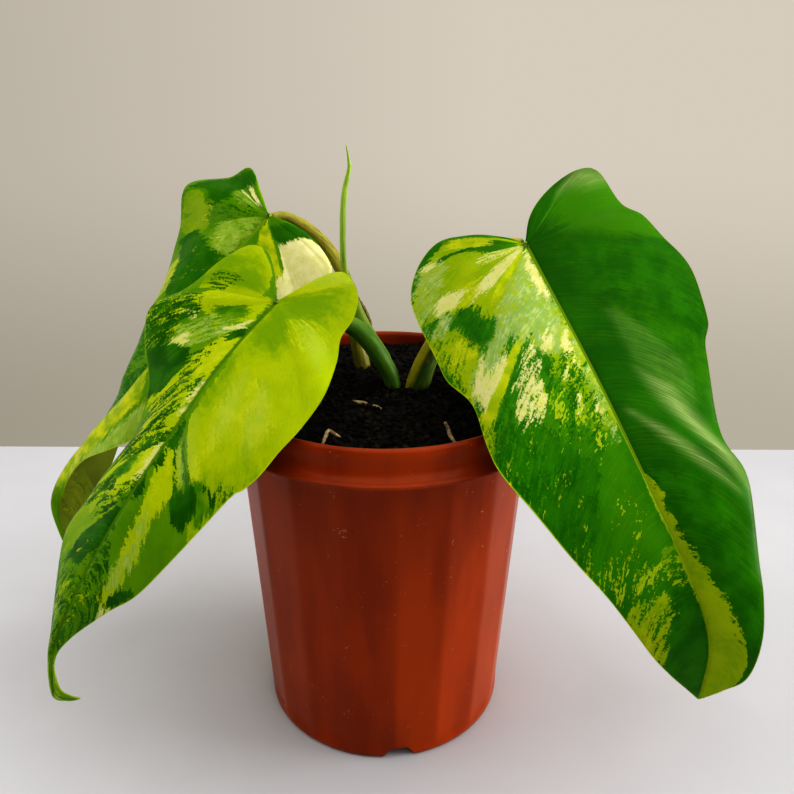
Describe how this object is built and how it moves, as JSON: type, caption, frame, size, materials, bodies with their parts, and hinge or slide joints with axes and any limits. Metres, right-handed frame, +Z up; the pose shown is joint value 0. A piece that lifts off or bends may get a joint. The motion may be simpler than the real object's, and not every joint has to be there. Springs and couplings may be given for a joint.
{
  "type": "potted philodendron plant",
  "caption": "Young aroid house plant with heart-shaped variegated blades on arching petioles and a rolled new leaf, growing in a tall fluted terracotta-coloured plastic nursery pot.",
  "frame": {"origin": "middle of the pot's foot, on the surface that it stands on", "axes": "+Z up along the pot's axis, +X along the spread of the leaves to the right as seen from the front, -Y towards the front, where the two large blades face"},
  "size_m": [0.3202, 0.1725, 0.264],
  "materials": {
    "pot_plastic": "semi-gloss moulded terracotta brown with light dust",
    "potting_mix": "near-black damp mix of peat, bark and husk",
    "root": "pale cream brown, matt",
    "petiole": "fleshy green with darker and olive streaks, waxy",
    "sheath": "light green, waxy",
    "new_leaf": "pale green, satin",
    "dry_husk": "dry brown, papery",
    "blade": "deep green marked with lime, yellow and cream, waxy sheen"
  },
  "bodies": {
    "root": {"pot": "pot_plastic", "potting_mix": "potting_mix", "rootstock": "root", "surface_root_1": "root", "surface_root_2": "root", "surface_root_3": "root", "petiole_right": "petiole", "petiole_front_left": "petiole", "petiole_back_left": "petiole", "shoot_sheath": "sheath", "new_leaf_spear": "new_leaf", "dry_sheath_edge": "dry_husk", "leaf_right": "blade", "leaf_front_left": "blade", "leaf_back_left": "blade"}
  },
  "joints": []
}
